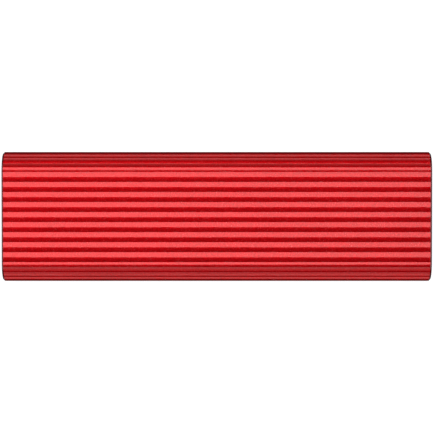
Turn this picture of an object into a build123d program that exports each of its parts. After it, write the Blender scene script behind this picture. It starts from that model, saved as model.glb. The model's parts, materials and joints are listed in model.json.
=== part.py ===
from build123d import *
import os
from math import cos, pi, sin

# A portable solid state drive. A ribbed aluminium sleeve is closed by two inset end caps, and
# the front cap carries a tray with the USB-C bridge board and the M.2 drive board.
# +X runs along the drive towards the USB-C port, +Y runs across it and +Z is up. The origin is
# the middle of the face that the drive lies on. Every length is in millimetres.

# Sleeve outline
length = 106.0
height = 10.4
corner_radius = 5.2
half_width = 16.025
rib_pitch = 2.47
flat_ribs = 9
side_ribs = 7
label_land_ribs = 3
rib_height = 0.18
flank_bulge = 0.68
end_chamfer = 0.42
mouth_chamfer = 0.15

# Sleeve inside
wall = 1.7
pocket_inset = 1.0
pocket_depth = 2.4
boss_y = 12.9
boss_radius = 1.6
screw_port_radius = 0.85
screw_port_slot = 0.7
rail_y = 11.4
rail_from_middle = 2.2
rail_depth = 0.9

# End caps, gaskets and their screws
cap_clearance = 0.1
cap_recess = 0.35
cap_thickness = 1.6
cap_edge_chamfer = 0.2
gasket_thickness = 0.4
gasket_width = 0.3
end_screw_length = 6.0
end_screw_radius = 0.78
end_screw_head_radius = 1.4
end_screw_hole_radius = 0.9

# Tray
tray_bottom = 1.95
tray_thickness = 0.75
tray_half_width = 11.7
tray_rear = -49.6
tray_lip_height = 2.0
tray_screw_x = 49.0
tray_screw_y = 9.75
tray_screw_radius = 0.6
tray_screw_head_radius = 1.15
lug_half_width = 1.45
lug_length = 3.85
lug_height = 2.4

# Bridge board and USB-C receptacle
bridge_front = 50.3
bridge_rear = 28.6
board_half_width = 11.0
bridge_bottom = 3.4
bridge_thickness = 1.0
receptacle_width = 8.94
receptacle_height = 3.16
receptacle_length = 7.4
receptacle_wall = 0.3
tongue_width = 6.69
tongue_thickness = 0.7
usb_contact_pitch = 0.5
usb_contacts_per_side = 12
port_gap = 0.15
spacer_radius = 1.5
spacer_bore = 0.7
board_screw_x = 44.6
board_screw_y = 9.3
spacer_rear_x = 30.4
led_y = 6.9
light_pipe_radius = 0.6

# M.2 drive board and its socket
drive_rear = -46.8
drive_shoulder = 29.15
drive_length = 80.0
drive_bottom = 5.4
drive_thickness = 0.8
finger_pitch = 0.5
finger_positions = 38
key_y = 6.125
key_notch_width = 1.2
socket_front = 36.2
socket_height = 2.3
standoff_radius = 1.9
chip_height = 1.2

# Heat path above the drive board
heat_rear = -22.5
heat_front = 20.5
pad_half_width = 9.3
pad_thickness = 0.6
spreader_half_width = 10.2
spreader_thickness = 0.55

# Places that follow from the dimensions above
half_length = length / 2
middle_z = height / 2
flat_half = half_width - corner_radius
arc_length = pi * corner_radius
half_outline = 2 * flat_half + arc_length
inner_radius = corner_radius - wall
cap_outer = half_length - cap_recess
cap_inner = cap_outer - cap_thickness
gasket_inner = cap_inner - gasket_thickness
tray_top = tray_bottom + tray_thickness
bridge_top = bridge_bottom + bridge_thickness
port_front = cap_outer - 0.05
receptacle_rear = port_front - receptacle_length
drive_front = drive_rear + drive_length
drive_top = drive_bottom + drive_thickness
chip_top = drive_top + chip_height
socket_rear = drive_shoulder + 0.05
socket_top = bridge_top + socket_height
sides = (-1, 1)


def block(x, y, z):
    """Box between two limits along each axis."""
    middles = [(low + high) / 2 for low, high in (x, y, z)]
    sizes = [high - low for low, high in (x, y, z)]
    return Pos(*middles) * Box(*sizes)


def centred_block(x, y, size_x, size_y, bottom, top):
    """Box standing on a level, centred on a point of the board."""
    return block((x - size_x / 2, x + size_x / 2), (y - size_y / 2, y + size_y / 2), (bottom, top))


def post(x, y, radius, bottom, top):
    """Upright cylinder."""
    return Pos(x, y, (bottom + top) / 2) * Cylinder(radius, top - bottom)


def rod(y, z, radius, x_low, x_high):
    """Cylinder along the drive."""
    return Pos((x_low + x_high) / 2, y, z) * Rot(0, 90, 0) * Cylinder(radius, x_high - x_low)


def rounded_bar(half_centres, radius, x_low, x_high, chamfer_low=0.0, chamfer_high=0.0):
    """Bar along X with a stadium section: flat top and bottom and half-round sides."""
    section = Plane.YZ * (Pos(0, middle_z) * SlotCenterToCenter(2 * half_centres, 2 * radius))
    bar = Pos(x_low, 0, 0) * extrude(section, amount=x_high - x_low)
    if chamfer_low:
        bar = chamfer(bar.faces().sort_by(Axis.X)[0].edges(), chamfer_low)
    if chamfer_high:
        bar = chamfer(bar.faces().sort_by(Axis.X)[-1].edges(), chamfer_high)
    return bar


def inset_bar(inset, x_low, x_high, chamfer_low=0.0, chamfer_high=0.0):
    """Bar that keeps a set distance inside the crests of the sleeve's ribs."""
    radius = corner_radius - inset
    return rounded_bar(flat_half, radius, x_low, x_high, chamfer_low, chamfer_high)


def at_both_ends(solid):
    """A shape at the port end together with its copy turned round to the rear end."""
    return [solid, Rot(0, 0, 180) * solid]


# ---------------------------------------------------------------------------------- sleeve


def outline_point(distance, depth):
    """Point a distance clockwise round the crests from the middle of the top, and a depth inside them."""
    along_top = min(distance, flat_half)
    round_side = min(max(distance - flat_half, 0), arc_length)
    back_below = max(distance - flat_half - arc_length, 0)
    radius = corner_radius - depth
    angle = round_side / corner_radius
    return Vector(along_top - back_below + radius * sin(angle), middle_z + radius * cos(angle))


def rib(start, end):
    """Edges of one rib: two gently arched flanks that rise from its valleys and meet in a crest."""
    shoulder = rib_height * (1 - flank_bulge)
    depths = (rib_height, shoulder, 0, shoulder, rib_height)
    quarter = (end - start) / 4
    points = [outline_point(start + step * quarter, depth) for step, depth in enumerate(depths)]
    return [ThreePointArc(*points[:3]), ThreePointArc(*points[2:])]


def valley_distances():
    """Valleys of the right half, from beside the middle rib on top to the edge of the label land."""
    top = [rib_pitch * (index + 0.5) for index in range(flat_ribs // 2 + 1)]
    side_pitch = (half_outline - 2 * top[-1]) / side_ribs
    side = [top[-1] + side_pitch * index for index in range(1, side_ribs)]
    first_below = label_land_ribs // 2
    below = [half_outline - distance for distance in reversed(top[first_below:])]
    return top + side + below


def ribbed_section():
    """Outline of the sleeve, with a flat land for the type label in the middle of the underside."""
    valleys = valley_distances()
    right = [edge for start, end in zip(valleys, valleys[1:]) for edge in rib(start, end)]
    left = [edge.mirror(Plane.YZ) for edge in right]
    land_edge = outline_point(valleys[-1], rib_height)
    land_half = land_edge.X - 2 * rib_height
    land = Polyline(land_edge, (land_half, 0), (-land_half, 0), (-land_edge.X, land_edge.Y))
    middle_rib = rib(-valleys[0], valleys[0])
    return Plane.YZ * make_face(Wire(middle_rib + right + left + list(land.edges())))


def sleeve_hollow():
    """The sleeve's inside, which leaves a screw boss and two tray rails standing on each side."""
    hollow = inset_bar(wall, -half_length, half_length)
    inner_side = flat_half + inner_radius
    for side in sides:
        hollow -= rod(side * boss_y, middle_z, boss_radius, -half_length, half_length)
        web = sorted((side * boss_y, side * (inner_side + wall / 2)))
        half_web = boss_radius * 0.75
        hollow -= block((-half_length, half_length), web, (middle_z - half_web, middle_z + half_web))
        for level in sides:
            rail_side = sorted((side * rail_y, side * (inner_side + wall / 2)))
            nearer = middle_z + level * (rail_from_middle - rail_depth)
            farther = middle_z + level * rail_from_middle
            hollow -= block((-half_length, half_length), rail_side, sorted((nearer, farther)))
    for side in sides:
        hollow += rod(side * boss_y, middle_z, screw_port_radius, -half_length, half_length)
        slot = sorted((side * (rail_y - 0.5), side * boss_y))
        half_slot = screw_port_slot / 2
        hollow += block((-half_length, half_length), slot, (middle_z - half_slot, middle_z + half_slot))
    return hollow


def sleeve():
    """Ribbed extrusion, chamfered round both ends, with a pocket for the cap milled in each."""
    body = Pos(-half_length, 0, 0) * extrude(ribbed_section(), amount=length)
    spare = 0.05
    cut = end_chamfer + spare
    body &= inset_bar(-spare, -half_length, half_length, cut, cut)
    body -= sleeve_hollow()
    pocket = inset_bar(pocket_inset, half_length - pocket_depth, half_length)
    flare = pocket_inset - mouth_chamfer
    mouth = inset_bar(flare, half_length - mouth_chamfer, half_length + mouth_chamfer, mouth_chamfer)
    for tool in at_both_ends(pocket) + at_both_ends(mouth):
        body -= tool
    return body


# ------------------------------------------------------------------------------- fasteners


def threaded_profile(radius, start, end, thread_pitch=0.35, depth=0.14):
    """Radius and height points down a threaded shank, one groove to each turn."""
    turns = int((start - end) / thread_pitch)
    points = []
    for turn in range(turns):
        crest = start - turn * thread_pitch
        points += [(radius, crest), (radius - depth, crest - thread_pitch / 2)]
    return points + [(radius, start - turns * thread_pitch), (radius - depth, end), (0, end)]


def cross_recess(head_radius, depth):
    """Cross-shaped driver recess, cut down from level zero."""
    arm = 1.15 * head_radius
    width = 0.3 * head_radius
    across = Pos(0, 0, -depth / 2) * Box(arm, width, depth)
    return across + Rot(0, 0, 90) * across


def revolved_screw(points, head_radius, recess_depth):
    """Screw turned from its half profile, head up, with its top at level zero."""
    face = Plane.XZ * make_face(Polyline(*points, close=True))
    return revolve(face, Axis.Z) - cross_recess(head_radius, recess_depth)


def countersunk_screw(radius, head_radius, screw_length):
    """Flat-topped screw with a conical head."""
    rim = 0.08
    neck = -(rim + head_radius - radius)
    head = [(0, 0), (head_radius, 0), (head_radius, -rim), (radius, neck)]
    points = head + threaded_profile(radius, neck - 0.15, -screw_length)
    return revolved_screw(points, head_radius, 0.45)


def pan_screw(radius, head_radius, head_height, collar_radius, collar_height, screw_length):
    """Low-headed screw with a plain collar under its head."""
    edge = 0.12
    under = -head_height - collar_height
    head = [(0, 0), (head_radius - edge, 0), (head_radius, -edge), (head_radius, -head_height)]
    collar = [(collar_radius, -head_height), (collar_radius, under), (radius, under)]
    points = head + collar + threaded_profile(radius, under - 0.1, -screw_length, 0.3, 0.1)
    return revolved_screw(points, head_radius, 0.6 * head_height)


def end_screws():
    """The two screws of the front cap."""
    screw = Rot(0, 90, 0) * countersunk_screw(end_screw_radius, end_screw_head_radius, end_screw_length)
    return [Pos(cap_outer - 0.04, side * boss_y, middle_z) * screw for side in sides]


def tray_screws():
    """Two screws up through the tray into the lugs of the front cap."""
    screw = Rot(180, 0, 0) * countersunk_screw(tray_screw_radius, tray_screw_head_radius, 2.6)
    return [Pos(tray_screw_x, side * tray_screw_y, tray_bottom + 0.02) * screw for side in sides]


def board_screws():
    """Two screws down through the bridge board into its front spacers."""
    screw = pan_screw(0.62, 1.2, 0.5, 0.65, 0.1, 2.3)
    return [Pos(board_screw_x, side * board_screw_y, bridge_top + 0.5) * screw for side in sides]


def board_spacers():
    """Four brass spacers pressed into the tray, which hold up the bridge board."""
    spacers = []
    for x in (board_screw_x, spacer_rear_x):
        for side in sides:
            y = side * board_screw_y
            spacer = post(x, y, spacer_radius, tray_top, bridge_bottom)
            spacer += post(x, y, spacer_radius - 0.4, tray_bottom, tray_top)
            spacers.append(spacer - post(x, y, spacer_bore, tray_bottom, bridge_bottom))
    return spacers


def m2_standoff():
    """Brass post at the rear of the tray, under the end of the drive board."""
    body = post(drive_rear, 0, standoff_radius, tray_top, drive_bottom)
    body += post(drive_rear, 0, 1.3, tray_bottom, tray_top)
    return body - post(drive_rear, 0, 1.0, tray_top + 0.3, drive_bottom)


def m2_screw():
    """Wide-headed screw that clamps the end of the drive board on its standoff."""
    screw = pan_screw(0.92, 2.0, 0.65, 1.6, drive_thickness, 3.4)
    return Pos(drive_rear, 0, drive_top + 0.65) * screw


# -------------------------------------------------------------------------------- end caps


def blank_cap():
    """Cap that fills the pocket at the port end, with its two countersunk screw holes."""
    cap = inset_bar(pocket_inset + cap_clearance, cap_inner, cap_outer, 0, cap_edge_chamfer)
    sink_depth = end_screw_head_radius + 0.1 - end_screw_hole_radius
    for side in sides:
        cap -= rod(side * boss_y, middle_z, end_screw_hole_radius, cap_inner, cap_outer)
        sink = Rot(0, 90, 0) * Cone(end_screw_hole_radius, end_screw_head_radius + 0.1, sink_depth)
        cap -= Pos(cap_outer - 0.1 - sink_depth / 2, side * boss_y, middle_z) * sink
        cap -= rod(side * boss_y, middle_z, end_screw_head_radius + 0.1, cap_outer - 0.1, cap_outer)
    return cap


def front_cap():
    """Cap with the USB-C opening, the status light's hole and the two lugs that hold the tray."""
    cap = blank_cap()
    half_centres = (receptacle_width - receptacle_height) / 2
    opening_radius = receptacle_height / 2 + port_gap
    cap -= rounded_bar(half_centres, opening_radius, cap_inner, cap_outer)
    flare = 0.3
    cap -= rounded_bar(half_centres, opening_radius + flare, cap_outer - flare, cap_outer + flare, flare)
    cap -= rod(led_y, middle_z, light_pipe_radius + 0.02, cap_inner, cap_outer)
    for side in sides:
        y_limits = (side * tray_screw_y - lug_half_width, side * tray_screw_y + lug_half_width)
        cap += block((cap_inner - lug_length, cap_inner), y_limits, (tray_top, tray_top + lug_height))
        pilot_top = tray_top + lug_height - 0.4
        cap -= post(tray_screw_x, side * tray_screw_y, tray_screw_radius + 0.03, tray_top, pilot_top)
    return cap


def rear_cap():
    """Plain cap with a shallow finger recess in its outer face."""
    recess = rounded_bar(6.0, 1.6, cap_outer - 0.3, cap_outer + 0.3, 0.2)
    return Rot(0, 0, 180) * (blank_cap() - recess)


def front_gasket():
    """Seal ring behind the front cap."""
    outer = pocket_inset + cap_clearance + 0.05
    ring = inset_bar(outer, gasket_inner, cap_inner)
    return ring - inset_bar(outer + gasket_width, gasket_inner, cap_inner)


def light_pipe():
    """Clear rod that brings the status light to the front face, with a collar behind the cap."""
    pipe = rod(led_y, middle_z, light_pipe_radius, bridge_front - 0.3, cap_outer - 0.03)
    return pipe + rod(led_y, middle_z, light_pipe_radius + 0.35, gasket_inner, cap_inner)


# ------------------------------------------------------------------------------------ tray


def carriage_tray():
    """Aluminium plate with a turned-up rear lip, countersunk for its screws and cut for weight."""
    plate = block((tray_rear, cap_inner), (-tray_half_width, tray_half_width), (tray_bottom, tray_top))
    corners = plate.edges().filter_by(Axis.Z)
    plate = fillet(corners.sort_by(Axis.X)[:2], 2.0)
    lip_half_width = tray_half_width - 3.0
    lip = block((tray_rear, tray_rear + tray_thickness), (-lip_half_width, lip_half_width),
                (tray_top, tray_top + tray_lip_height))
    lip = fillet(lip.edges().filter_by(Axis.X).sort_by(Axis.Z)[-2:], 1.2)
    plate += lip
    window_length = 19.0
    for row in range(3):
        for side in sides:
            x = -30.0 + row * (window_length + 3.0)
            window = SlotOverall(window_length, 5.0)
            plate -= Pos(x, side * 5.2, tray_bottom) * extrude(window, amount=tray_thickness)
    for side in sides:
        y = side * tray_screw_y
        sink_radius = tray_screw_head_radius + 0.05
        plate -= post(tray_screw_x, y, tray_screw_radius + 0.03, tray_bottom, tray_top)
        depth = tray_screw_head_radius + 0.02 - tray_screw_radius
        sink = Rot(180, 0, 0) * Cone(tray_screw_radius + 0.03, sink_radius, depth)
        plate -= Pos(tray_screw_x, y, tray_bottom + 0.1 + depth / 2) * sink
        plate -= post(tray_screw_x, y, sink_radius, tray_bottom, tray_bottom + 0.1)
        for x in (board_screw_x, spacer_rear_x):
            plate -= post(x, side * board_screw_y, spacer_radius - 0.38, tray_bottom, tray_top)
    return plate - post(drive_rear, 0, 1.32, tray_bottom, tray_top)


# ---------------------------------------------------------------------- bridge board and port


def bridge_board():
    """Circuit board with a notch for the receptacle and corners cut away for the cap's lugs."""
    board = block((bridge_rear, bridge_front), (-board_half_width, board_half_width),
                  (bridge_bottom, bridge_top))
    notch = receptacle_width / 2 + 0.18
    board -= block((receptacle_rear - 0.15, bridge_front), (-notch, notch), (bridge_bottom, bridge_top))
    lug_edge = tray_screw_y - lug_half_width - 0.2
    for side in sides:
        corner = sorted((side * lug_edge, side * board_half_width))
        board -= block((cap_inner - lug_length - 0.3, bridge_front), corner, (bridge_bottom, bridge_top))
        board -= post(board_screw_x, side * board_screw_y, 0.75, bridge_bottom, bridge_top)
    rear_corners = board.edges().filter_by(Axis.Z).sort_by(Axis.X)[:2]
    return fillet(rear_corners, 0.8)


def usb_c_shell():
    """Drawn steel shell of the receptacle, with four solder wings on the board."""
    half_centres = (receptacle_width - receptacle_height) / 2
    outer = receptacle_height / 2
    shell = rounded_bar(half_centres, outer, receptacle_rear, port_front, 0, 0.1)
    shell -= rounded_bar(half_centres, outer - receptacle_wall, receptacle_rear, port_front)
    for side in sides:
        for x in (receptacle_rear + 0.9, receptacle_rear + 3.9):
            wing_y = sorted((side * (receptacle_width / 2 - 0.1), side * (receptacle_width / 2 + 1.0)))
            wing = block((x, x + 1.3), wing_y, (bridge_top, bridge_top + 0.3))
            shell += wing - rounded_bar(half_centres, outer - receptacle_wall / 2, x, x + 1.3)
    return shell


def usb_c_tongue():
    """Moulded insulator: the block that closes the shell's rear, and the tongue in its mouth."""
    half_centres = (receptacle_width - receptacle_height) / 2
    radius = receptacle_height / 2 - receptacle_wall - 0.02
    body = rounded_bar(half_centres, radius, receptacle_rear, receptacle_rear + 1.9)
    tongue = block((receptacle_rear + 1.9, port_front - 0.75), (-tongue_width / 2, tongue_width / 2),
                   (middle_z - tongue_thickness / 2, middle_z + tongue_thickness / 2))
    tip = tongue.faces().sort_by(Axis.X)[-1].edges()
    body += chamfer(tip, 0.2)
    base_width = tongue_width / 2 + 0.4
    body += block((receptacle_rear - 0.8, receptacle_rear), (-base_width, base_width),
                  (bridge_top, middle_z + radius - 0.1))
    return body


def usb_c_contacts():
    """Contact strips on both faces of the tongue, and the row of leads soldered to the board."""
    first = -(usb_contacts_per_side - 1) * usb_contact_pitch / 2
    strips = []
    strip_x = (receptacle_rear + 2.1, port_front - 1.3)
    tongue_face = tongue_thickness / 2
    for i in range(usb_contacts_per_side):
        y = first + i * usb_contact_pitch
        y_limits = (y - 0.125, y + 0.125)
        for side in sides:
            face = sorted((middle_z + side * tongue_face, middle_z + side * (tongue_face + 0.05)))
            strips.append(block(strip_x, y_limits, face))
        lead_x = (receptacle_rear - 1.5, receptacle_rear - 0.8)
        strips.append(block(lead_x, y_limits, (bridge_top, bridge_top + 0.15)))
    return strips


def rounded_inductor(x, y, size, bottom, tall):
    """Moulded power inductor with eased edges."""
    body = centred_block(x, y, size, size, bottom, bottom + tall)
    body = chamfer(body.edges().filter_by(Axis.Z), size * 0.12)
    return chamfer(body.faces().sort_by(Axis.Z)[-1].edges(), 0.1)


def chip(x, y, size_x, size_y, bottom, top):
    """Moulded chip package with slightly eased upper edges."""
    body = centred_block(x, y, size_x, size_y, bottom, top)
    return chamfer(body.faces().sort_by(Axis.Z)[-1].edges(), 0.05)


def small_parts(places, size, bottom, tall):
    """Equal small surface-mounted parts, each place giving X, Y and whether it lies along Y."""
    parts = []
    for x, y, along_y in places:
        size_x, size_y = (size[1], size[0]) if along_y else size
        parts.append(centred_block(x, y, size_x, size_y, bottom, bottom + tall))
    return parts


def row(x, y, step_x, step_y, count, along_y):
    """Evenly spaced places for small parts."""
    return [(x + i * step_x, y + i * step_y, along_y) for i in range(count)]


# --------------------------------------------------------------------------- M.2 drive board


def finger_places(gap_half_width):
    """Y of each contact finger, leaving out those at the key notch."""
    first = -(finger_positions - 1) * finger_pitch / 2
    places = [first + i * finger_pitch for i in range(finger_positions)]
    return [y for y in places if abs(y - key_y) > gap_half_width]


def drive_board():
    """M.2 2280 board: shouldered edge with its key notch, and a half-round screw notch behind."""
    z_limits = (drive_bottom, drive_top)
    board = block((drive_rear, drive_shoulder), (-board_half_width, board_half_width), z_limits)
    edge_half_width = finger_positions * finger_pitch / 2 + 0.4
    board += block((drive_shoulder, drive_front), (-edge_half_width, edge_half_width), z_limits)
    notch_depth = 3.5
    notch_y = (key_y - key_notch_width / 2, key_y + key_notch_width / 2)
    notch_end = drive_front - notch_depth + key_notch_width / 2
    board -= block((notch_end, drive_front), notch_y, z_limits)
    board -= post(notch_end, key_y, key_notch_width / 2, drive_bottom, drive_top)
    return board - post(drive_rear, 0, 1.75, drive_bottom, drive_top)


def drive_edge_contacts():
    """Gold fingers on both faces of the board's edge."""
    fingers = []
    x_limits = (drive_shoulder + 0.5, drive_front - 0.3)
    for y in finger_places(key_notch_width / 2 + 0.2):
        y_limits = (y - 0.175, y + 0.175)
        fingers.append(block(x_limits, y_limits, (drive_top, drive_top + 0.03)))
        fingers.append(block(x_limits, y_limits, (drive_bottom - 0.03, drive_bottom)))
    return fingers


def m2_socket():
    """Socket housing with a keyed slot for the drive board's edge."""
    body = block((socket_rear, socket_front), (-10.95, 10.95), (bridge_top, socket_top))
    body = chamfer(body.edges().filter_by(Axis.Z).sort_by(Axis.X)[-2:], 0.6)
    slot_half_width = finger_positions * finger_pitch / 2 + 0.5
    slot_front = drive_front + 0.1
    body -= block((socket_rear, slot_front), (-slot_half_width, slot_half_width),
                  (drive_bottom - 0.05, drive_top + 0.05))
    key_half = key_notch_width / 2 - 0.1
    key_rear = drive_front - 3.5 + 0.15
    body += block((key_rear, slot_front), (key_y - key_half, key_y + key_half),
                  (drive_bottom - 0.05, drive_top + 0.05))
    groove_depth = 0.18
    for y in finger_places(0.8):
        body -= block((socket_rear, socket_front), (y - 0.12, y + 0.12),
                      (socket_top - groove_depth, socket_top))
    return body


def m2_socket_contacts():
    """Solder leads of the socket, in front of it and under the drive board behind it."""
    leads = []
    for y in finger_places(0.8):
        y_limits = (y - 0.1, y + 0.1)
        leads.append(block((socket_front, socket_front + 0.7), y_limits, (bridge_top, bridge_top + 0.15)))
        leads.append(block((bridge_rear + 0.1, socket_rear), y_limits, (bridge_top, bridge_top + 0.15)))
    return leads


def heat_spreader():
    """Flat aluminium plate above the hot chips, with rounded corners."""
    bottom = chip_top + pad_thickness
    plate = block((heat_rear - 1.0, heat_front + 1.0), (-spreader_half_width, spreader_half_width),
                  (bottom, bottom + spreader_thickness))
    plate = fillet(plate.edges().filter_by(Axis.Z), 1.5)
    return chamfer(plate.faces().sort_by(Axis.Z)[-1].edges(), 0.1)


# ------------------------------------------------------------------------------ the assembly

socket_side_x = drive_shoulder - 4.6
power_row_y = (-2.0, 2.4, 6.8)
capacitor_size = (1.0, 0.5)
resistor_size = (0.6, 0.3)

bridge_capacitor_places = (
    row(37.9, -4.3, 1.3, 0, 4, True)
    + row(37.9, 9.9, 1.3, 0, 5, True)
    + row(43.1, -5.6, 0, -1.1, 2, False)
    + row(46.6, 6.0, 1.1, 0, 2, True)
    + row(46.6, -6.6, 1.1, 0, 3, True)
)
bridge_resistor_places = (
    row(38.0, 3.7, 0.9, 0, 5, True)
    + row(37.7, -10.2, 0.9, 0, 6, True)
    + row(42.4, 7.9, 0, 0.6, 2, False)
)
drive_capacitor_places = (
    row(20.9, -9.6, 0, 1.1, 4, False)
    + row(20.9, 5.6, 0, 1.1, 4, False)
    + row(27.9, -4.2, 0, 1.2, 9, True)
    + row(4.4, -9.5, 0, 1.2, 4, True)
    + row(4.4, 6.0, 0, 1.2, 4, True)
    + row(-22.75, -8.0, 0, 1.6, 11, True)
    + row(-39.3, -8.4, 0, 1.3, 6, True)
    + row(-39.3, 2.0, 0, 1.3, 6, True)
)
drive_resistor_places = (
    row(22.1, -9.4, 0, 0.9, 4, True)
    + row(-5.9, -8.4, 0, 1.2, 15, True)
    + row(-40.6, -9.0, 0, 1.0, 7, True)
)

front_screws = end_screws()
parts = {
    "sleeve": sleeve(),
    "rear_cap": rear_cap(),
    "rear_gasket": Rot(0, 0, 180) * front_gasket(),
    "rear_screws": [Rot(0, 0, 180) * screw for screw in front_screws],
    "front_cap": front_cap(),
    "front_gasket": front_gasket(),
    "front_screws": front_screws,
    "light_pipe": light_pipe(),
    "carriage_tray": carriage_tray(),
    "tray_screws": tray_screws(),
    "board_spacers": board_spacers(),
    "board_screws": board_screws(),
    "bridge_board": bridge_board(),
    "usb_c_shell": usb_c_shell(),
    "usb_c_tongue": usb_c_tongue(),
    "usb_c_contacts": usb_c_contacts(),
    "status_led": centred_block(49.5, led_y, 0.9, 1.6, bridge_top, bridge_top + 0.8),
    "bridge_chip": chip(40.3, 0, 6.0, 6.0, bridge_top, bridge_top + 0.85),
    "bridge_flash": chip(39.4, 6.3, 3.0, 4.0, bridge_top, bridge_top + 0.75),
    "bridge_crystal": chip(42.4, 6.0, 2.0, 2.5, bridge_top, bridge_top + 0.65),
    "bridge_converter": chip(42.2, -8.6, 2.0, 2.0, bridge_top, bridge_top + 0.75),
    "bridge_inductor": rounded_inductor(39.2, -7.4, 3.4, bridge_top, 1.8),
    "bridge_capacitors": small_parts(bridge_capacitor_places, capacitor_size, bridge_top, 0.5),
    "bridge_resistors": small_parts(bridge_resistor_places, resistor_size, bridge_top, 0.25),
    "m2_socket": m2_socket(),
    "m2_socket_contacts": m2_socket_contacts(),
    "m2_standoff": m2_standoff(),
    "m2_screw": m2_screw(),
    "drive_board": drive_board(),
    "drive_edge_contacts": drive_edge_contacts(),
    "drive_controller": chip(12.5, 0, 14.0, 14.0, drive_top, chip_top),
    "drive_memory": chip(-1.0, 0, 8.0, 12.0, drive_top, chip_top),
    "flash_chip_1": chip(-14.0, 0, 14.0, 18.0, drive_top, chip_top),
    "flash_chip_2": chip(-31.0, 0, 14.0, 18.0, drive_top, chip_top),
    "drive_power_chip": chip(socket_side_x, -6.6, 4.0, 4.0, drive_top, drive_top + 0.8),
    "drive_inductors": [
        rounded_inductor(socket_side_x, y, 2.6, drive_top, 1.0) for y in power_row_y
    ],
    "drive_crystal": chip(socket_side_x - 3.3, 2.0, 1.6, 2.0, drive_top, drive_top + 0.5),
    "drive_capacitors": small_parts(drive_capacitor_places, capacitor_size, drive_top, 0.5),
    "drive_resistors": small_parts(drive_resistor_places, resistor_size, drive_top, 0.25),
    "thermal_pad": block((heat_rear, heat_front), (-pad_half_width, pad_half_width),
                         (chip_top, chip_top + pad_thickness)),
    "heat_spreader": heat_spreader(),
}

os.makedirs("parts", exist_ok=True)
for name, shape in parts.items():
    solids = shape if isinstance(shape, list) else [shape]
    export_step(Compound([solid for item in solids for solid in item.solids()]), f"parts/{name}.step")
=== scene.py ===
import json
from math import atan, copysign, cos, pi, sin

import bmesh
import bpy
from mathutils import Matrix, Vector


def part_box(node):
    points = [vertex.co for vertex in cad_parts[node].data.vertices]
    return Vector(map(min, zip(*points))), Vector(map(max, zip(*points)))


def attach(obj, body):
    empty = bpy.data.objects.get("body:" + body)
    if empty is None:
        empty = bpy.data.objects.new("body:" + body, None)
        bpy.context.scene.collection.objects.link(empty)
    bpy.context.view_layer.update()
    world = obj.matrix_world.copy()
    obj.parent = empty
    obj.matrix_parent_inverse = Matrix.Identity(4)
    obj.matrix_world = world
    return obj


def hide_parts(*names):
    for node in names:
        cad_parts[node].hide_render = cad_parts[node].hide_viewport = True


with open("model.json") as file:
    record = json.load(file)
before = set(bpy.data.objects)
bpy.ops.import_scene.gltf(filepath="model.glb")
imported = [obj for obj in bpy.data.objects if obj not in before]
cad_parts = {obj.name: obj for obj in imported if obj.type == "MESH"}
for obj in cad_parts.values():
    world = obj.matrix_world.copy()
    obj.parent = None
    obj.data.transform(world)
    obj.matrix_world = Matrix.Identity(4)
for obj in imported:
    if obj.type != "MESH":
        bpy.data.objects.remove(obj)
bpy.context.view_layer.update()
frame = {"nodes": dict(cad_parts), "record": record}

MM = 0.001               # Blender works in metres; names that end in _MM or _mm are millimetres
scene = bpy.context.scene
nodes = frame["nodes"]

SLEEVE_LOW, SLEEVE_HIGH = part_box("sleeve")
LENGTH = SLEEVE_HIGH.x - SLEEVE_LOW.x
END_CHAMFER = 0.42 * MM

# Board detail, in millimetres
TRACK_WIDTH_MM = 0.11
POWER_TRACK_WIDTH_MM = 0.9
TRACK_RISE_MM = 0.012
VIA_RADIUS_MM = 0.2
VIA_HOLE_RADIUS_MM = 0.09
VIA_RISE_MM = 0.014
NOTCH_LAND_RADIUS_MM = 2.75
PLATING_MM = 0.012


# --------------------------------------------------------------------- material building


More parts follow.
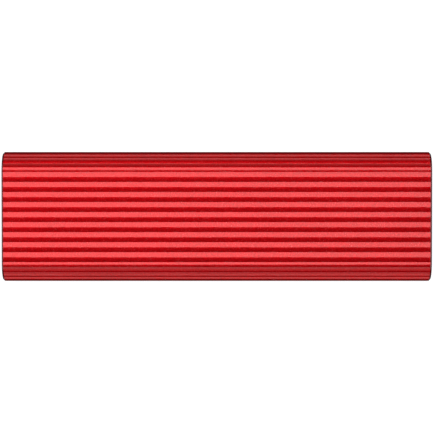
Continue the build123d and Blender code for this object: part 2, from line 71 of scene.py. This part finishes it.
class Graph:
    """A procedural material: one Principled shader, fed by noises in the drive's own frame."""

    def __init__(self, name, **settings):
        self.material = bpy.data.materials.new(name)
        self.material.use_nodes = True
        self.tree = self.material.node_tree
        self.shader = self.tree.nodes["Principled BSDF"]
        self.place = self.add("ShaderNodeTexCoord").outputs["Object"]
        for socket, value in settings.items():
            self.shader.inputs[socket.replace("_", " ")].default_value = value

    def add(self, kind, **properties):
        node = self.tree.nodes.new(kind)
        for name, value in properties.items():
            setattr(node, name, value)
        return node

    def feed(self, socket, source):
        """Gives a node's input a number, a colour or another node's output."""
        if isinstance(source, bpy.types.NodeSocket):
            self.tree.links.new(source, socket)
        else:
            socket.default_value = source

    def stretched(self, x=1.0, y=1.0, z=1.0):
        """The object's own coordinates, scaled so that a pattern can be drawn out along one axis."""
        mapping = self.add("ShaderNodeMapping")
        self.feed(mapping.inputs["Vector"], self.place)
        mapping.inputs["Scale"].default_value = (x, y, z)
        return mapping.outputs["Vector"]

    def noise(self, size_mm, detail=2.0, place=None):
        """Soft noise whose features are about size_mm across."""
        texture = self.add("ShaderNodeTexNoise")
        self.feed(texture.inputs["Vector"], place or self.place)
        texture.inputs["Scale"].default_value = 1.0 / (size_mm * MM)
        texture.inputs["Detail"].default_value = detail
        return texture.outputs["Fac"]

    def cells(self, size_mm, metric="EUCLIDEAN"):
        """Random value for each grain, or for each squarish patch with the CHEBYCHEV metric."""
        texture = self.add("ShaderNodeTexVoronoi", distance=metric)
        self.feed(texture.inputs["Vector"], self.place)
        texture.inputs["Scale"].default_value = 1.0 / (size_mm * MM)
        return texture.outputs["Color"]

    def spread(self, source, low, high, to_low=0.0, to_high=1.0):
        """Maps a range of one value on to another, without going past its ends."""
        node = self.add("ShaderNodeMapRange")
        for name, value in (("Value", source), ("From Min", low), ("From Max", high),
                            ("To Min", to_low), ("To Max", to_high)):
            self.feed(node.inputs[name], value)
        return node.outputs["Result"]

    def maths(self, operation, first, second=0.0):
        node = self.add("ShaderNodeMath", operation=operation)
        self.feed(node.inputs[0], first)
        self.feed(node.inputs[1], second)
        return node.outputs[0]

    def mix(self, share, first, second):
        """Colour between two others."""
        node = self.add("ShaderNodeMix", data_type="RGBA")
        self.feed(node.inputs["Factor"], share)
        self.feed(node.inputs["A"], first)
        self.feed(node.inputs["B"], second)
        return node.outputs["Result"]

    def axis_value(self, axis):
        node = self.add("ShaderNodeSeparateXYZ")
        self.feed(node.inputs["Vector"], self.place)
        return node.outputs[axis]

    def colour(self, source):
        self.feed(self.shader.inputs["Base Color"], source)
        return self

    def rough(self, source):
        self.feed(self.shader.inputs["Roughness"], source)
        return self

    def bump(self, height, depth_mm, strength=1.0):
        node = self.add("ShaderNodeBump")
        node.inputs["Distance"].default_value = depth_mm * MM
        node.inputs["Strength"].default_value = strength
        self.feed(node.inputs["Height"], height)
        self.feed(self.shader.inputs["Normal"], node.outputs["Normal"])
        return self


def rgb(red, green, blue):
    return (red, green, blue, 1.0)


def red_anodised():
    """Fine bead-blasted aluminium, dyed red under a clear layer. Its colour also carries painted glints
    on random grains, painted shade in tiny pits and painted shade on the chamfered ends.
    """
    g = Graph("red_anodised", Metallic=1.0, Specular_Tint=rgb(0.9, 0.1, 0.1),
              Coat_Weight=0.32, Coat_Roughness=0.09, Coat_IOR=2.0)
    grain = g.noise(0.16, 3.0)
    cloud = g.noise(9.0, 2.0)
    mottle = g.spread(g.noise(0.34, 2.0), 0.35, 0.65)
    # Painted glints: random grains get a lighter, whiter red that stands for glints off the blasted
    # surface.
    painted_glints = g.spread(g.cells(0.16), 0.78, 0.95)
    # Painted shade: random dark specks stand for the shade inside tiny pits.
    painted_pit_shade = g.spread(g.cells(0.2), 0.2, 0.05)
    dye = g.mix(g.spread(cloud, 0.3, 0.7), rgb(0.6, 0.001, 0.003), rgb(0.66, 0.002, 0.005))
    dye = g.mix(g.maths("MULTIPLY", mottle, 0.44), dye, rgb(1.0, 0.006, 0.014))
    dye = g.mix(g.maths("MULTIPLY", painted_glints, 0.36), dye, rgb(0.94, 0.1, 0.11))
    dye = g.mix(g.maths("MULTIPLY", painted_pit_shade, 0.3), dye, rgb(0.33, 0.001, 0.002))
    along = g.maths("ABSOLUTE", g.axis_value("X"))
    # Painted shade: the colour over the end chamfers is darkened to stand for the shade seen on them.
    painted_end_shade = g.maths("GREATER_THAN", along, LENGTH / 2 - END_CHAMFER * 1.02)
    g.colour(g.mix(painted_end_shade, dye, rgb(0.16, 0.003, 0.006)))
    g.rough(g.spread(grain, 0.25, 0.75, 0.4, 0.56))
    return g.bump(grain, 0.03, 0.7).material


def moulded(name, tone, grain_mm=0.12, rough=(0.5, 0.68), depth_mm=0.01):
    """Fine-textured moulding in one dark or light tone."""
    g = Graph(name)
    grain = g.noise(grain_mm, 3.0)
    cloud = g.noise(4.0)
    lighter = [min(1.0, part * 1.35 + 0.004) for part in tone]
    g.colour(g.mix(g.spread(cloud, 0.3, 0.7), rgb(*tone), rgb(*lighter)))
    g.rough(g.spread(grain, 0.3, 0.7, *rough))
    return g.bump(grain, depth_mm, 0.5).material


def metal(name, tone, rough=(0.22, 0.38), grain_mm=0.08, stretch=(1, 1, 1), depth_mm=0.004):
    """Metal with fine marks, drawn out along the axes whose stretch is small."""
    g = Graph(name, Metallic=1.0)
    place = g.stretched(*stretch)
    marks = g.noise(grain_mm, 3.0, place)
    cloud = g.noise(2.5)
    darker = [part * 0.82 for part in tone]
    g.colour(g.mix(g.spread(cloud, 0.35, 0.75), rgb(*tone), rgb(*darker)))
    g.rough(g.spread(marks, 0.3, 0.7, *rough))
    return g.bump(marks, depth_mm, 0.4).material


def laminate(name, mask, copper):
    """Solder mask over copper: fine glass weave, and copper areas that show through a little."""
    g = Graph(name, Coat_Weight=0.4, Coat_Roughness=0.15)
    yarns = 2 * pi / (0.45 * MM)
    weave_x = g.maths("SINE", g.maths("MULTIPLY", g.axis_value("X"), yarns))
    weave_y = g.maths("SINE", g.maths("MULTIPLY", g.axis_value("Y"), yarns))
    weave = g.maths("MULTIPLY", weave_x, weave_y)
    pours = g.spread(g.cells(2.6, "CHEBYCHEV"), 0.48, 0.5)
    g.colour(g.mix(g.maths("MULTIPLY", pours, 0.55), rgb(*mask), rgb(*copper)))
    g.rough(g.spread(g.noise(0.3), 0.3, 0.7, 0.28, 0.42))
    return g.bump(weave, 0.003, 0.35).material


def light_pipe_clear():
    """Frosted clear plastic, with faint cloudiness."""
    g = Graph("light_pipe", Transmission_Weight=0.85, IOR=1.49)
    g.colour(g.mix(g.noise(0.4), rgb(0.93, 0.96, 0.98), rgb(0.85, 0.9, 0.94)))
    g.rough(g.spread(g.noise(0.1), 0.3, 0.7, 0.2, 0.4))
    return g.bump(g.noise(0.15), 0.004, 0.3).material


def make_materials():
    """One finished material for each slot of the record."""
    return {
        "red_anodised": red_anodised(),
        "cap_plastic": moulded("cap_plastic", (0.012, 0.012, 0.013), 0.14, (0.48, 0.66), 0.014),
        "gasket_rubber": moulded("gasket_rubber", (0.02, 0.02, 0.021), 0.08, (0.7, 0.85)),
        "black_steel": metal("black_steel", (0.045, 0.045, 0.05), (0.3, 0.45)),
        "light_pipe": light_pipe_clear(),
        "tray_aluminium": metal("tray_aluminium", (0.74, 0.75, 0.76), (0.28, 0.42), 0.12, (0.05, 1, 1)),
        "spreader_aluminium": metal("spreader_aluminium", (0.55, 0.56, 0.58), (0.25, 0.4), 0.12,
                                    (0.04, 1, 1)),
        "bright_steel": metal("bright_steel", (0.62, 0.61, 0.59), (0.15, 0.28)),
        "brass": metal("brass", (0.78, 0.56, 0.26), (0.18, 0.3), 0.1, (1, 1, 4)),
        "bridge_laminate": laminate("bridge_laminate", (0.006, 0.008, 0.012), (0.016, 0.019, 0.026)),
        "drive_laminate": laminate("drive_laminate", (0.004, 0.05, 0.022), (0.012, 0.1, 0.042)),
        "bridge_copper": laminate("bridge_copper", (0.034, 0.04, 0.054), (0.044, 0.05, 0.064)),
        "drive_copper": laminate("drive_copper", (0.03, 0.22, 0.095), (0.036, 0.25, 0.11)),
        "receptacle_steel": metal("receptacle_steel", (0.6, 0.6, 0.6), (0.2, 0.34), 0.1, (0.08, 1, 1)),
        "insulator": moulded("insulator", (0.011, 0.011, 0.012), 0.07, (0.42, 0.55), 0.005),
        "gold_contact": metal("gold_contact", (0.95, 0.68, 0.27), (0.12, 0.24)),
        "tinned_lead": metal("tinned_lead", (0.72, 0.72, 0.7), (0.22, 0.36)),
        "led_body": moulded("led_body", (0.82, 0.8, 0.62), 0.08, (0.3, 0.45), 0.004),
        "crystal_lid": metal("crystal_lid", (0.66, 0.64, 0.58), (0.2, 0.32)),
        "ferrite": moulded("ferrite", (0.07, 0.07, 0.075), 0.1, (0.55, 0.75), 0.02),
        "capacitor_ceramic": moulded("capacitor_ceramic", (0.34, 0.22, 0.13), 0.07, (0.35, 0.5), 0.004),
        "resistor_body": moulded("resistor_body", (0.014, 0.014, 0.016), 0.05, (0.3, 0.45), 0.003),
        "chip_moulding": moulded("chip_moulding", (0.018, 0.018, 0.019), 0.06, (0.45, 0.62), 0.008),
        "thermal_pad": moulded("thermal_pad", (0.3, 0.38, 0.46), 0.25, (0.5, 0.7), 0.02),
    }


def dress_nodes(materials):
    """Gives every CAD node the finished material of its slot."""
    slots = {part["node"]: part["material_slot"] for part in frame["record"]["subparts"]}
    for name, obj in nodes.items():
        for material_slot in obj.material_slots:
            material_slot.link = "OBJECT"
            material_slot.material = materials[slots[name]]


# --------------------------------------------------------------------------- mesh helpers


def add_piece(name, mesh, material, body="carriage_body", smooth=False):
    """Turns a finished bmesh into a piece that rides on a body."""
    bmesh.ops.recalc_face_normals(mesh, faces=mesh.faces)
    data = bpy.data.meshes.new(name)
    mesh.to_mesh(data)
    mesh.free()
    data.materials.append(material)
    if smooth:
        data.shade_smooth()
    piece = bpy.data.objects.new(name, data)
    scene.collection.objects.link(piece)
    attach(piece, body)
    return piece


def solid_boxes(node):
    """Lowest and highest corners of each separate solid of a CAD node."""
    mesh = bmesh.new()
    mesh.from_mesh(nodes[node].data)
    bmesh.ops.remove_doubles(mesh, verts=mesh.verts, dist=0.002 * MM)
    waiting = set(mesh.verts)
    boxes = []
    while waiting:
        reached = [waiting.pop()]
        for vert in reached:
            neighbours = {edge.other_vert(vert) for edge in vert.link_edges} & waiting
            waiting -= neighbours
            reached.extend(neighbours)
        low = Vector([min(vert.co[axis] for vert in reached) for axis in range(3)])
        high = Vector([max(vert.co[axis] for vert in reached) for axis in range(3)])
        boxes.append((low, high))
    mesh.free()
    return sorted(boxes, key=lambda box: tuple(box[0]))


def eased_box(mesh, low, high, edge_mm):
    """Box between two corners, with all its edges rounded off."""
    low, high = Vector(low), Vector(high)
    made = bmesh.ops.create_cube(mesh, size=1.0)["verts"]
    for vert in made:
        vert.co = Vector([(low[i] + high[i]) / 2 + vert.co[i] * (high[i] - low[i]) for i in range(3)])
    edges = list({edge for vert in made for edge in vert.link_edges})
    bmesh.ops.bevel(mesh, geom=edges, offset=edge_mm * MM, segments=2, affect="EDGES", profile=0.6)


def track(mesh, points, level, width_mm=TRACK_WIDTH_MM):
    """Thin raised line of copper along a route on a board, mitred at its bends."""
    spots = [Vector((x, y, level)) for x, y in points]
    headings = [(after - before).normalized() for before, after in zip(spots, spots[1:])]
    rise = Vector((0, 0, TRACK_RISE_MM * MM))
    rows = []
    for i, spot in enumerate(spots):
        leaving = headings[min(i, len(headings) - 1)]
        heading = (headings[max(i - 1, 0)] + leaving).normalized()
        aside = Vector((-heading.y, heading.x, 0)) * width_mm * MM / 2 / heading.dot(leaving)
        section = (spot - aside, spot - aside + rise, spot + aside + rise, spot + aside)
        rows.append([mesh.verts.new(corner) for corner in section])
    for here, following in zip(rows, rows[1:]):
        for j in range(3):
            mesh.faces.new((here[j], following[j], following[j + 1], here[j + 1]))
    mesh.faces.new(rows[0])
    mesh.faces.new(rows[-1])


def ring(mesh, centre, inner_mm, outer_mm, rise_mm, turn=(0.0, 2 * pi), steps=24):
    """Flat raised ring, or part of one, with sloping flanks."""
    centre = Vector(centre)
    slope = min(rise_mm, (outer_mm - inner_mm) * 0.3)
    profile = ((inner_mm, 0), (inner_mm + slope, rise_mm), (outer_mm - slope, rise_mm), (outer_mm, 0))
    closed = turn == (0.0, 2 * pi)
    rows = []
    for step in range(steps if closed else steps + 1):
        angle = turn[0] + (turn[1] - turn[0]) * step / steps
        rows.append([mesh.verts.new(centre + Vector((radius * cos(angle), radius * sin(angle), z)) * MM)
                     for radius, z in profile])
    last = len(rows) if closed else len(rows) - 1
    for i in range(last):
        here, following = rows[i], rows[(i + 1) % len(rows)]
        for j in range(3):
            mesh.faces.new((here[j], following[j], following[j + 1], here[j + 1]))


def stadium(half_centres, radius, steps=24):
    """Points in the Y-Z plane round a bar with half-round sides."""
    points = []
    for side in (1, -1):
        for step in range(steps + 1):
            angle = pi / 2 - pi * step / steps
            points.append((side * (half_centres + radius * cos(angle)), side * radius * sin(angle)))
    return points


# ------------------------------------------------------------------------- soft inner parts


def bulged_pad(materials):
    """Soft pad squeezed between the chips and the spreader, so its cut sides swell a little."""
    low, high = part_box("thermal_pad")
    mesh = bmesh.new()
    corner = 0.7 * MM
    spare = 0.16 * MM
    ripple = 0.03 * MM
    steps = 8
    levels = 7
    outline = ((high.x, high.y), (low.x, high.y), (low.x, low.y), (high.x, low.y))
    rows = []
    for level in range(levels):
        share = level / (levels - 1)
        swell = spare * sin(pi * share) - spare
        loop = []
        for quarter, (x, y) in enumerate(outline):
            inward = Vector((corner if x == low.x else -corner, corner if y == low.y else -corner, 0))
            for step in range(steps + 1):
                angle = (quarter + step / steps) * pi / 2
                reach = corner + swell + ripple * (sin(9 * angle + 2 * share) - 1)
                spot = Vector((x, y, low.z + share * (high.z - low.z))) + inward
                loop.append(mesh.verts.new(spot + Vector((cos(angle), sin(angle), 0)) * reach))
        rows.append(loop)
    for here, above in zip(rows, rows[1:]):
        for i in range(len(here)):
            following = (i + 1) % len(here)
            mesh.faces.new((here[i], here[following], above[following], above[i]))
    mesh.faces.new(rows[0])
    mesh.faces.new(rows[-1])
    pad = add_piece("swollen_thermal_pad", mesh, materials["thermal_pad"], smooth=True)
    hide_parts("thermal_pad")


def rounded_gasket(node, body, materials):
    """Rubber seal ring with a rounded section in place of the square-cut CAD ring."""
    low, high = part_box(node)
    thick = high.x - low.x
    band = 0.3 * MM
    outer = (high.z - low.z) / 2
    centre = Vector(((low.x + high.x) / 2, 0, (low.z + high.z) / 2))
    half_centres = (high.y - low.y) / 2 - outer
    squareness = 0.7
    mesh = bmesh.new()
    turns = 10
    rows = []
    for turn in range(turns):
        angle = 2 * pi * turn / turns
        along = copysign(abs(cos(angle)) ** squareness, cos(angle)) * thick / 2
        radius = outer - band / 2 + copysign(abs(sin(angle)) ** squareness, sin(angle)) * band / 2
        loop = stadium(half_centres, radius)
        rows.append([mesh.verts.new(centre + Vector((along, y, z))) for y, z in loop])
    for turn in range(turns):
        here, following = rows[turn], rows[(turn + 1) % turns]
        for i in range(len(here)):
            j = (i + 1) % len(here)
            mesh.faces.new((here[i], here[j], following[j], following[i]))
    seal = add_piece("rounded_" + node, mesh, materials["gasket_rubber"], body, True)
    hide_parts(node)


# ---------------------------------------------------------------------- solder and contacts


def terminations(node, share, materials):
    """Plated ends of small two-ended parts."""
    mesh = bmesh.new()
    skin = PLATING_MM * MM
    for low, high in solid_boxes(node):
        axis = 0 if high.x - low.x >= high.y - low.y else 1
        reach = (high[axis] - low[axis]) * share
        for end in (0, 1):
            cap_low = low - Vector((skin, skin, 0))
            cap_high = high + Vector((skin, skin, skin))
            if end:
                cap_low[axis] = high[axis] - reach
            else:
                cap_high[axis] = low[axis] + reach
            eased_box(mesh, cap_low, cap_high, 0.03)
    add_piece(node + "_ends", mesh, materials["tinned_lead"])


def solder_toe(mesh, foot, outward, width, reach, rise):
    """Small hollow-faced wedge of solder against the side of a part."""
    across = Vector((-outward.y, outward.x, 0)) * width / 2
    up = Vector((0, 0, rise))
    line = [foot + up, foot + outward * reach * 0.25 + up * 0.42, foot + outward * reach, foot]
    sides = [[mesh.verts.new(point + across * sign) for point in line] for sign in (-1, 1)]
    for i in range(3):
        mesh.faces.new((sides[0][i], sides[0][i + 1], sides[1][i + 1], sides[1][i]))
    mesh.faces.new(sides[0])
    mesh.faces.new(sides[1])


def chip_pads(node, pitch_mm, margin_mm, materials, sides=((1, 0), (-1, 0), (0, 1), (0, -1))):
    """Solder toes along the foot of a leadless chip."""
    low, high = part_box(node)
    middle = (low + high) / 2
    reach, rise = 0.2 * MM, 0.16 * MM
    mesh = bmesh.new()
    for x, y in sides:
        outward = Vector((x, y, 0))
        span_axis = 1 if x else 0
        span = (high[span_axis] - low[span_axis]) / MM - 2 * margin_mm
        count = int(span / pitch_mm) + 1
        for i in range(count):
            foot = Vector((middle.x, middle.y, low.z))
            foot[span_axis] += (i - (count - 1) / 2) * pitch_mm * MM
            foot[1 - span_axis] = (high if x + y > 0 else low)[1 - span_axis]
            solder_toe(mesh, foot, outward, pitch_mm / 2 * MM, reach, rise)
    add_piece(node + "_solder", mesh, materials["tinned_lead"])


def pin_one_marks(materials):
    """Shallow moulded ring that marks the first pin of each chip."""
    mesh = bmesh.new()
    for node, radius, inset in (("drive_controller", 0.5, 1.3), ("drive_memory", 0.4, 1.0),
                                ("flash_chip_1", 0.5, 1.3), ("flash_chip_2", 0.5, 1.3),
                                ("bridge_chip", 0.28, 0.7), ("bridge_flash", 0.2, 0.55),
                                ("drive_power_chip", 0.2, 0.55), ("bridge_converter", 0.13, 0.4)):
        low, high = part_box(node)
        centre = (low.x + inset * MM, high.y - inset * MM, high.z)
        ring(mesh, centre, radius * 0.7, radius, 0.015, steps=20)
    add_piece("pin_one_marks", mesh, materials["chip_moulding"])


def socket_springs(materials):
    """Gilt spring tails lying in the grooves on top of the M.2 socket."""
    low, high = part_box("m2_socket")
    mesh = bmesh.new()
    half_width, thick = 0.08 * MM, 0.07 * MM
    rear, front = low.x + 0.5 * MM, high.x - 0.15 * MM
    floor = high.z - 0.18 * MM
    for lead_low, lead_high in solid_boxes("m2_socket_contacts"):
        if lead_low.x < high.x - 0.1 * MM:
            continue
        middle = (lead_low.y + lead_high.y) / 2
        eased_box(mesh, (rear, middle - half_width, floor),
                  (front, middle + half_width, floor + thick), 0.02)
    add_piece("socket_springs", mesh, materials["gold_contact"])


def shell_tabs(materials):
    """Pressed spring tabs and the folded seam on top of the receptacle's shell."""
    low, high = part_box("usb_c_shell")
    mesh = bmesh.new()
    tab_from, tab_to = low.x + 1.4 * MM, low.x + 4.2 * MM
    tab_middle, tab_half_width, tab_rise = 1.7 * MM, 0.55 * MM, 0.05 * MM
    for side in (-1, 1):
        y = side * tab_middle
        eased_box(mesh, (tab_from, y - tab_half_width, high.z - tab_rise),
                  (tab_to, y + tab_half_width, high.z + tab_rise), 0.045)
    seam_from, seam_to, seam_half_width = low.x + 0.1 * MM, low.x + 4.9 * MM, 0.06 * MM
    eased_box(mesh, (seam_from, -seam_half_width, high.z - 0.03 * MM),
              (seam_to, seam_half_width, high.z + 0.015 * MM), 0.012)
    add_piece("shell_tabs", mesh, materials["receptacle_steel"])


def led_lens(materials):
    """Clear domed lens on the status light."""
    low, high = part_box("status_led")
    centre = Vector(((low.x + high.x) / 2, (low.y + high.y) / 2, high.z))
    half_length, half_width, rise = 0.34 * MM, 0.6 * MM, 0.09 * MM
    levels, turns = 10, 20
    angles = [2 * pi * turn / turns for turn in range(turns)]
    mesh = bmesh.new()
    top = mesh.verts.new(centre + Vector((0, 0, rise)))
    bottom = mesh.verts.new(centre - Vector((0, 0, rise)))
    rows = []
    for level in range(1, levels):
        spread, height = sin(pi * level / levels), cos(pi * level / levels)
        rows.append([mesh.verts.new(centre + Vector((half_length * spread * cos(angle),
                                                     half_width * spread * sin(angle),
                                                     rise * height))) for angle in angles])
    for i in range(turns):
        j = (i + 1) % turns
        mesh.faces.new((top, rows[0][i], rows[0][j]))
        for here, below in zip(rows, rows[1:]):
            mesh.faces.new((here[i], below[i], below[j], here[j]))
        mesh.faces.new((bottom, rows[-1][j], rows[-1][i]))
    add_piece("led_lens", mesh, materials["light_pipe"], smooth=True)


# ------------------------------------------------------------------------------ board detail


def screw_lands(materials):
    """Gold rings round the boards' screw holes and the half ring at the drive board's notch."""
    mesh = bmesh.new()
    bridge_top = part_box("bridge_board")[1].z
    hole_mm, land_mm, notch_mm = 0.8, 1.55, 1.8
    for low, high in solid_boxes("board_screws"):
        middle = (low + high) / 2
        ring(mesh, (middle.x, middle.y, bridge_top), hole_mm, land_mm, 0.015, steps=32)
    low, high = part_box("drive_board")
    ring(mesh, (low.x, 0, high.z), notch_mm, NOTCH_LAND_RADIUS_MM, 0.02, (-pi / 2, pi / 2), 32)
    add_piece("screw_lands", mesh, materials["gold_contact"])


def via(mesh, x, y, level):
    """Plated hole under the solder mask, seen as a small ring."""
    ring(mesh, (x, y, level), VIA_HOLE_RADIUS_MM, VIA_RADIUS_MM, VIA_RISE_MM, steps=12)


def edge_vias(mesh, x_from, x_to, board, pitch_mm):
    """Row of grounding vias along both long edges of a board."""
    low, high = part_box(board)
    count = int((x_to - x_from) / (pitch_mm * MM)) + 1
    inset = 0.38 * MM
    for y in (low.y + inset, high.y - inset):
        for i in range(count):
            via(mesh, x_from + i * pitch_mm * MM, y, high.z)


def rear_tracks(mesh, level):
    """Tracks from both ends of the rear column of small parts to vias near the board's rear edge."""
    board_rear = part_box("drive_board")[0].x
    chip_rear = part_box("flash_chip_2")[0].x
    jog = 0.45 * MM
    stagger = 0.25 * MM
    beside_land = (NOTCH_LAND_RADIUS_MM + 0.65) * MM
    short_of_edge, short_of_land = 1.1 * MM, 3.3 * MM
    column = [box for box in solid_boxes("drive_resistors") if box[1].x < chip_rear]
    column += [box for box in solid_boxes("drive_capacitors") if box[1].x < chip_rear and box[0].y > 0]
    for low, high in column:
        middle = (low.y + high.y) / 2
        for sign in (-1, 1):
            y = middle + sign * (high.y - low.y) * 0.36
            aside = y + copysign(jog, y)
            room = short_of_edge if abs(aside) > beside_land else short_of_land
            end = board_rear + room + stagger * (1 + sign)
            half = (low.x + end) / 2
            track(mesh, ((low.x, y), (half + jog / 2, y), (half - jog / 2, aside), (end, aside)), level)
            via(mesh, end - VIA_RADIUS_MM * MM, aside, level)


def finger_tracks(mesh, level):
    """Short tracks from the contacts on the board's front edge to two staggered rows of vias."""
    fingers = [box for box in solid_boxes("drive_edge_contacts") if box[1].z > level]
    first_row, row_gap = 0.7 * MM, 0.36 * MM
    for i, (low, high) in enumerate(fingers):
        y = (low.y + high.y) / 2
        end = low.x - first_row - row_gap * (i % 2)
        track(mesh, ((low.x, y), (end, y)), level)
        via(mesh, end - VIA_RADIUS_MM * MM, y, level)


def power_tracks(mesh, level):
    """Broad tracks that join the power chip and the row of inductors."""
    row = [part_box("drive_power_chip")] + solid_boxes("drive_inductors")
    for (low, high), (next_low, _) in zip(row, row[1:]):
        x = (low.x + high.x) / 2
        track(mesh, ((x, high.y), (x, next_low.y)), level, POWER_TRACK_WIDTH_MM)


def drive_tracks(materials):
    """Copper tracks and tented vias under the drive board's solder mask."""
    low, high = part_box("drive_board")
    mesh = bmesh.new()
    rear_tracks(mesh, high.z)
    finger_tracks(mesh, high.z)
    power_tracks(mesh, high.z)
    edge_vias(mesh, low.x + 1.2 * MM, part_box("m2_socket")[0].x - 1.5 * MM, "drive_board", 2.4)
    add_piece("drive_tracks", mesh, materials["drive_copper"])


def bridge_tracks(materials):
    """Copper tracks and tented vias under the bridge board's solder mask."""
    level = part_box("bridge_board")[1].z
    chip_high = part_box("bridge_chip")[1]
    port_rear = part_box("usb_c_shell")[0].x
    socket_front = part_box("m2_socket")[1].x
    mesh = bmesh.new()
    under_toe = 0.1 * MM
    count, pitch = 10, 0.5 * MM
    start = chip_high.x + under_toe
    bend_from, bend_to = start + 0.4 * MM, start + 0.9 * MM
    for i in range(count):
        y = (i - (count - 1) / 2) * pitch
        gathered = y * 0.8
        track(mesh, ((start, y), (bend_from, y), (bend_to, gathered), (port_rear, gathered)), level)
    for node in ("bridge_flash", "bridge_crystal"):
        low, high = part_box(node)
        for share in (0.3, 0.7):
            x = low.x + (high.x - low.x) * share
            track(mesh, ((x, chip_high.y + under_toe), (x, low.y)), level)
    edge_vias(mesh, socket_front + 1.2 * MM, chip_high.x, "bridge_board", 0.75)
    add_piece("bridge_tracks", mesh, materials["bridge_copper"])


def add_details(materials):
    bulged_pad(materials)
    rounded_gasket("front_gasket", "carriage_body", materials)
    rounded_gasket("rear_gasket", "rear_cap_body", materials)
    for node, share in (("bridge_capacitors", 0.26), ("drive_capacitors", 0.26),
                        ("bridge_resistors", 0.24), ("drive_resistors", 0.24),
                        ("bridge_inductor", 0.14), ("drive_inductors", 0.14)):
        terminations(node, share, materials)
    chip_pads("bridge_chip", 0.4, 0.5, materials)
    chip_pads("bridge_converter", 0.5, 0.3, materials)
    chip_pads("drive_power_chip", 0.5, 0.4, materials)
    chip_pads("bridge_flash", 1.27, 0.3, materials, ((0, 1), (0, -1)))
    pin_one_marks(materials)
    socket_springs(materials)
    shell_tabs(materials)
    led_lens(materials)
    screw_lands(materials)
    drive_tracks(materials)
    bridge_tracks(materials)


# --------------------------------------------------------------------------- stage


def make_floor():
    """Pale floor, far larger than the drive. It stays out of the metal's reflections."""
    mesh = bmesh.new()
    bmesh.ops.create_grid(mesh, x_segments=1, y_segments=1, size=3.0)
    data = bpy.data.meshes.new("floor")
    mesh.to_mesh(data)
    mesh.free()
    floor = bpy.data.objects.new("floor", data)
    floor.location.z = -0.02 * MM
    floor.visible_glossy = False
    scene.collection.objects.link(floor)
    g = Graph("floor_white", Emission_Strength=0.95, Emission_Color=rgb(1, 1, 1), Specular_IOR_Level=0.0)
    g.colour(g.mix(g.noise(40.0), rgb(0.24, 0.24, 0.24), rgb(0.26, 0.26, 0.26))).rough(0.9)
    data.materials.append(g.material)


def add_panel(name, centre, size, aim, power):
    """Rectangular softbox that looks at a point. Sizes are in metres and power in watts."""
    light = bpy.data.lights.new(name, "AREA")
    light.shape = "RECTANGLE"
    light.size, light.size_y = size
    light.energy = power
    panel = bpy.data.objects.new(name, light)
    panel.location = centre
    panel.rotation_euler = (Vector(aim) - Vector(centre)).to_track_quat("-Z", "Y").to_euler()
    panel.visible_camera = False
    scene.collection.objects.link(panel)


def studio_world():
    """Dark studio with a white band round it, brightest just below the horizon."""
    world = bpy.data.worlds.new("studio")
    world.use_nodes = True
    tree = world.node_tree
    direction = tree.nodes.new("ShaderNodeTexCoord").outputs["Generated"]
    split = tree.nodes.new("ShaderNodeSeparateXYZ")
    rise = tree.nodes.new("ShaderNodeMapRange")
    rise.inputs["From Min"].default_value = -1.0
    band = tree.nodes.new("ShaderNodeValToRGB")
    tree.links.new(direction, split.inputs["Vector"])
    tree.links.new(split.outputs["Z"], rise.inputs["Value"])
    tree.links.new(rise.outputs["Result"], band.inputs["Fac"])
    tree.links.new(band.outputs["Color"], tree.nodes["Background"].inputs["Color"])
    stops = band.color_ramp.elements
    levels = ((-0.34, 0.02), (-0.22, 1.0), (-0.02, 1.0), (0.02, 0.5),
              (0.14, 0.42), (0.3, 0.2), (0.5, 0.15), (0.64, 0.005))     # height from -1 to 1, light
    while len(stops) < len(levels):
        stops.new(0.5)
    for stop, (height, level) in zip(stops, levels):
        stop.position = (height + 1) / 2
        stop.color = rgb(level, level, level)
    tree.nodes["Background"].inputs["Strength"].default_value = 1.5
    scene.world = world


def light_scene():
    """Wide overhead softbox off to one side and end, and a weak one low on the other side."""
    studio_world()
    add_panel("key", centre=(-0.57, 0.28, 1.0), size=(1.9, 0.72), aim=(-0.57, 0.28, 0.0), power=10.8)
    add_panel("side_fill", centre=(-0.1, -0.95, 0.62), size=(1.8, 0.35), aim=(0.0, 0.0, 0.0), power=1.8)
    scene.view_settings.view_transform = "Standard"


def add_camera():
    """Almost straight down on the drive, which fills nearly the whole width of the picture."""
    distance = 0.5
    share_of_frame = 0.99491917
    data = bpy.data.cameras.new("camera")
    seen_half = LENGTH / 2 / (distance - SLEEVE_HIGH.z + END_CHAMFER)
    data.lens = data.sensor_width / 2 * share_of_frame / seen_half
    data.clip_start = 0.01
    camera = bpy.data.objects.new("camera", data)
    aside = 15 * MM
    off_centre = -0.08 * MM
    camera.location = (off_centre, aside, distance)
    camera.rotation_euler.x = -atan(aside / (distance - SLEEVE_HIGH.z / 2))
    scene.collection.objects.link(camera)
    scene.camera = camera


add_camera()
light_scene()
make_floor()
materials = make_materials()
dress_nodes(materials)
add_details(materials)
